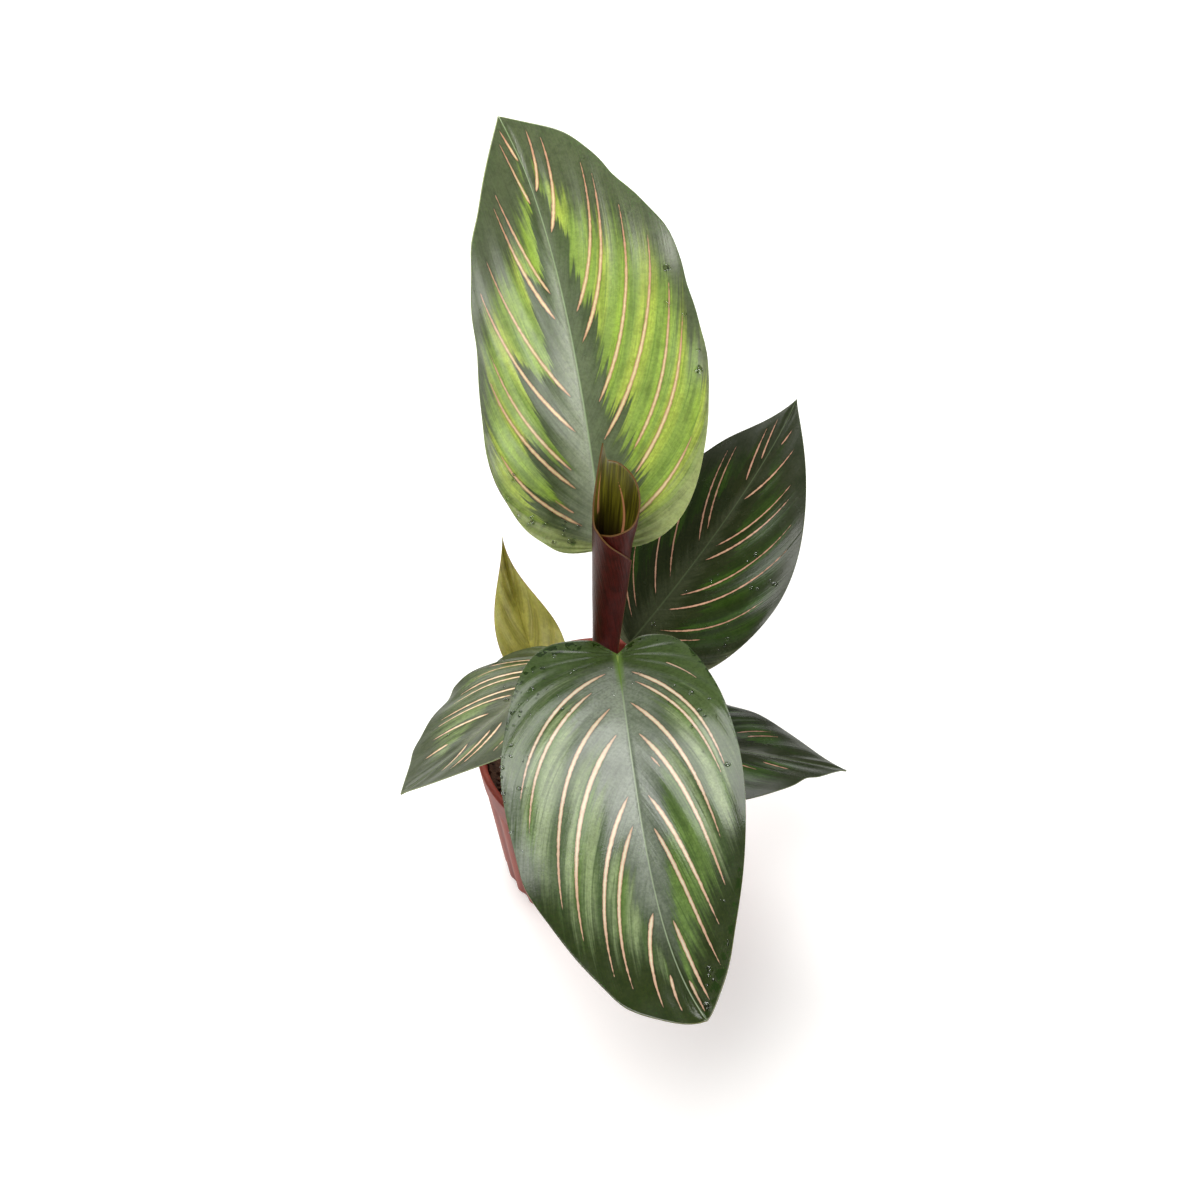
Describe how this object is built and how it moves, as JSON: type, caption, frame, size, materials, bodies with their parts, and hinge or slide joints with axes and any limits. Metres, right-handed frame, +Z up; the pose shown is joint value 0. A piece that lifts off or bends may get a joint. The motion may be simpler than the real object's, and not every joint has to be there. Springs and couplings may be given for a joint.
{
  "type": "potted beauty star calathea",
  "caption": "Young prayer plant with broad pointed leaves striped in fine pink lines and one leaf still rolled, growing in soil in a small tapered fluted pot.",
  "frame": {"origin": "middle of the pot's underside, where it rests", "axes": "+Z up along the pot's axis; the front leaf arches towards -Y and the tall back leaf leans towards +Y"},
  "size_m": [0.1399, 0.2393, 0.2466],
  "materials": {
    "pot_plastic": "dusty terracotta pink moulded plastic with upright flutes",
    "potting_mix": "damp dark peat with bark and pale grains",
    "leaf_lime": "satin blade, lime green between grey-green midrib and edge, with pale pink pinstripes, maroon underneath",
    "leaf_green": "satin blade, mid green bands on grey-green, with pale pink pinstripes, maroon underneath",
    "leaf_dark": "glossy very dark green blade with fine salmon pinstripes, maroon underneath",
    "leaf_young": "soft yellow-olive young blade with a brown tip",
    "leaf_rolled": "satin maroon outside, olive inside the mouth",
    "stalk_green": "satin olive green stem, reddish at the foot",
    "stalk_maroon": "satin reddish brown stem"
  },
  "bodies": {
    "root": {"pot": "pot_plastic", "soil": "potting_mix", "back_stalk": "stalk_green", "back_leaf": "leaf_lime", "right_stalk": "stalk_maroon", "right_leaf": "leaf_dark", "front_stalk": "stalk_green", "front_leaf": "leaf_green", "left_stalk": "stalk_maroon", "left_leaf": "leaf_dark", "low_stalk": "stalk_maroon", "low_leaf": "leaf_dark", "young_stalk": "stalk_green", "young_leaf": "leaf_young", "rolled_leaf": "leaf_rolled"}
  },
  "joints": []
}
